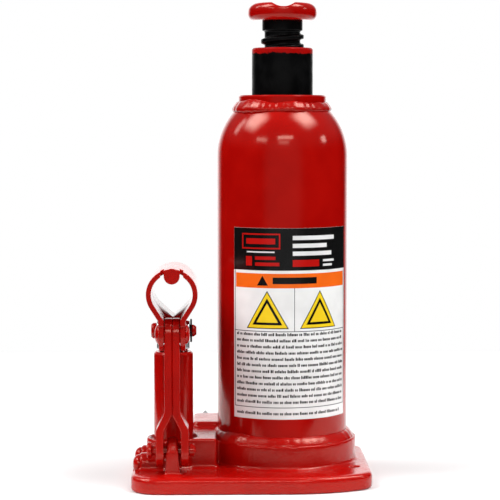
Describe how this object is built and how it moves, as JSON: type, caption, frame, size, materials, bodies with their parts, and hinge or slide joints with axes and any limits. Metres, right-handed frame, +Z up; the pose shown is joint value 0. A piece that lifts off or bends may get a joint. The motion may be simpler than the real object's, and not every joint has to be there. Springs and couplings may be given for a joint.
{
  "type": "bottle jack",
  "caption": "Hydraulic bottle jack: cast foot, domed reservoir, telescoping ram with extension screw and lobed saddle, and a side lever pump with a handle socket.",
  "frame": {"origin": "on the ram's axis, at the underside of the base", "axes": "+Z up along the ram; -Y to the front, where the link stands; the pump handle goes in along -Y from the back; the pump is at -X"},
  "size_m": [0.126, 0.109, 0.2536],
  "materials": {
    "red_paint": "glossy sprayed enamel over castings, tube and plate",
    "dark_steel": "blackened, oily",
    "bare_steel": "machined",
    "chrome_plate": "ground and plated",
    "black_rubber": "satin",
    "copper_gasket": "soft annealed",
    "label_film": "printed and laminated"
  },
  "bodies": {
    "base": {"base_casting": "red_paint", "reservoir_casing": "red_paint", "casing_foot_weld": "red_paint", "neck_weld_bead": "red_paint", "hydraulic_cylinder": "red_paint", "cylinder_foot_gasket": "copper_gasket", "gland_nut": "dark_steel", "ram_wiper": "black_rubber", "filler_plug": "black_rubber", "label": "label_film", "pump_cylinder": "red_paint", "pump_cylinder_gasket": "copper_gasket", "plunger_wiper": "black_rubber", "suction_ball": "bare_steel", "discharge_ball": "bare_steel", "discharge_spring": "bare_steel", "front_valve_plug": "red_paint", "rear_valve_plug": "red_paint", "overload_ball": "bare_steel", "overload_spring": "bare_steel", "overload_set_screw": "dark_steel", "release_ball": "bare_steel", "link_foot_pin": "red_paint", "foot_pin_clip": "red_paint"},
    "ram": {"ram": "dark_steel", "piston_head": "bare_steel", "piston_cup_seal": "black_rubber", "piston_seal_washer": "bare_steel", "piston_nut": "bare_steel"},
    "screw_carrier": {"screw_stop_ring": "bare_steel"},
    "screw": {"extension_screw": "dark_steel", "saddle": "red_paint"},
    "link": {"link_strap_left": "red_paint", "link_strap_right": "red_paint"},
    "socket": {"handle_socket": "red_paint", "fulcrum_pin": "red_paint"},
    "plunger": {"pump_plunger": "chrome_plate", "plunger_pin": "red_paint", "plunger_pin_clip": "dark_steel", "plunger_cup_seal": "black_rubber", "plunger_seal_washer": "bare_steel"},
    "release_carrier": {"release_o_ring": "black_rubber"},
    "release": {"release_screw": "bare_steel"}
  },
  "joints": [
    {"name": "ram_lift", "type": "slide", "parent": "base", "child": "ram", "axis": [0, 0, 1], "range_m": [-0.0222, 0.124]},
    {"name": "screw_rise", "type": "slide", "parent": "ram", "child": "screw_carrier", "axis": [0, 0, 1], "range_m": [-0.0138, 0.05]},
    {"name": "screw_turn", "type": "hinge", "parent": "screw_carrier", "child": "screw", "pos_m": [0, 0, 0.24], "axis": [0, 0, 1], "range_deg": [-993.8, 3600.2]},
    {"name": "link_swing", "type": "hinge", "parent": "base", "child": "link", "pos_m": [-0.0583, -0.045, 0.0203], "axis": [1, 0, 0], "range_deg": [-3.87, 0]},
    {"name": "handle_swing", "type": "hinge", "parent": "link", "child": "socket", "pos_m": [-0.0583, -0.045, 0.081], "axis": [1, 0, 0], "range_deg": [0, 40]},
    {"name": "plunger_stroke", "type": "slide", "parent": "base", "child": "plunger", "axis": [0, 0, 1], "range_m": [0, 0.01418]},
    {"name": "release_travel", "type": "slide", "parent": "base", "child": "release_carrier", "axis": [0, 1, 0], "range_m": [0, 0.00225]},
    {"name": "release_turn", "type": "hinge", "parent": "release_carrier", "child": "release", "pos_m": [-0.042, 0.03, 0.0205], "axis": [0, 1, 0], "range_deg": [0, 540.2]}
  ],
  "couplings": [
    {"joint": "screw_turn", "follows": "screw_rise", "rad_per_m": 1256.6},
    {"joint": "link_swing", "follows": "handle_swing", "ratio": -0.096376},
    {"joint": "plunger_stroke", "follows": "handle_swing", "m_per_rad": 0.020296},
    {"joint": "release_turn", "follows": "release_travel", "rad_per_m": 4188.8}
  ]
}
